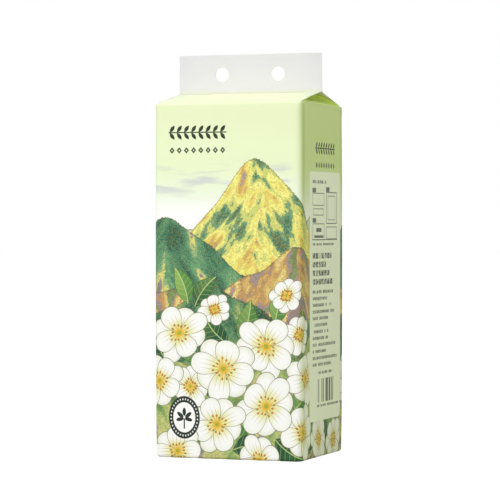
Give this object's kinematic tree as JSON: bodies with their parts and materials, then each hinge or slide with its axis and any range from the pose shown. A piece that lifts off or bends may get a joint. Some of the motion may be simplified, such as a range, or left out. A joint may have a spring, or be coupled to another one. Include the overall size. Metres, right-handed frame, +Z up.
{
  "type": "hanging tissue pack",
  "caption": "Sealed soft film pack of folded paper tissues with a gabled top and a flat frosted header whose two round holes hang it from hooks.",
  "frame": {"origin": "centre of the base of the pack, on the surface that it stands on", "axes": "+Z up towards the header, +X along the width of the pack to the right of its front, +Y from the front face towards the back"},
  "size_m": [0.13, 0.112, 0.338],
  "materials": {
    "printed_film": "satin printed polyethylene film",
    "frosted_film": "frosted film"
  },
  "bodies": {
    "root": {"tissue_pack": "printed_film", "hanging_header": "frosted_film"}
  },
  "joints": []
}
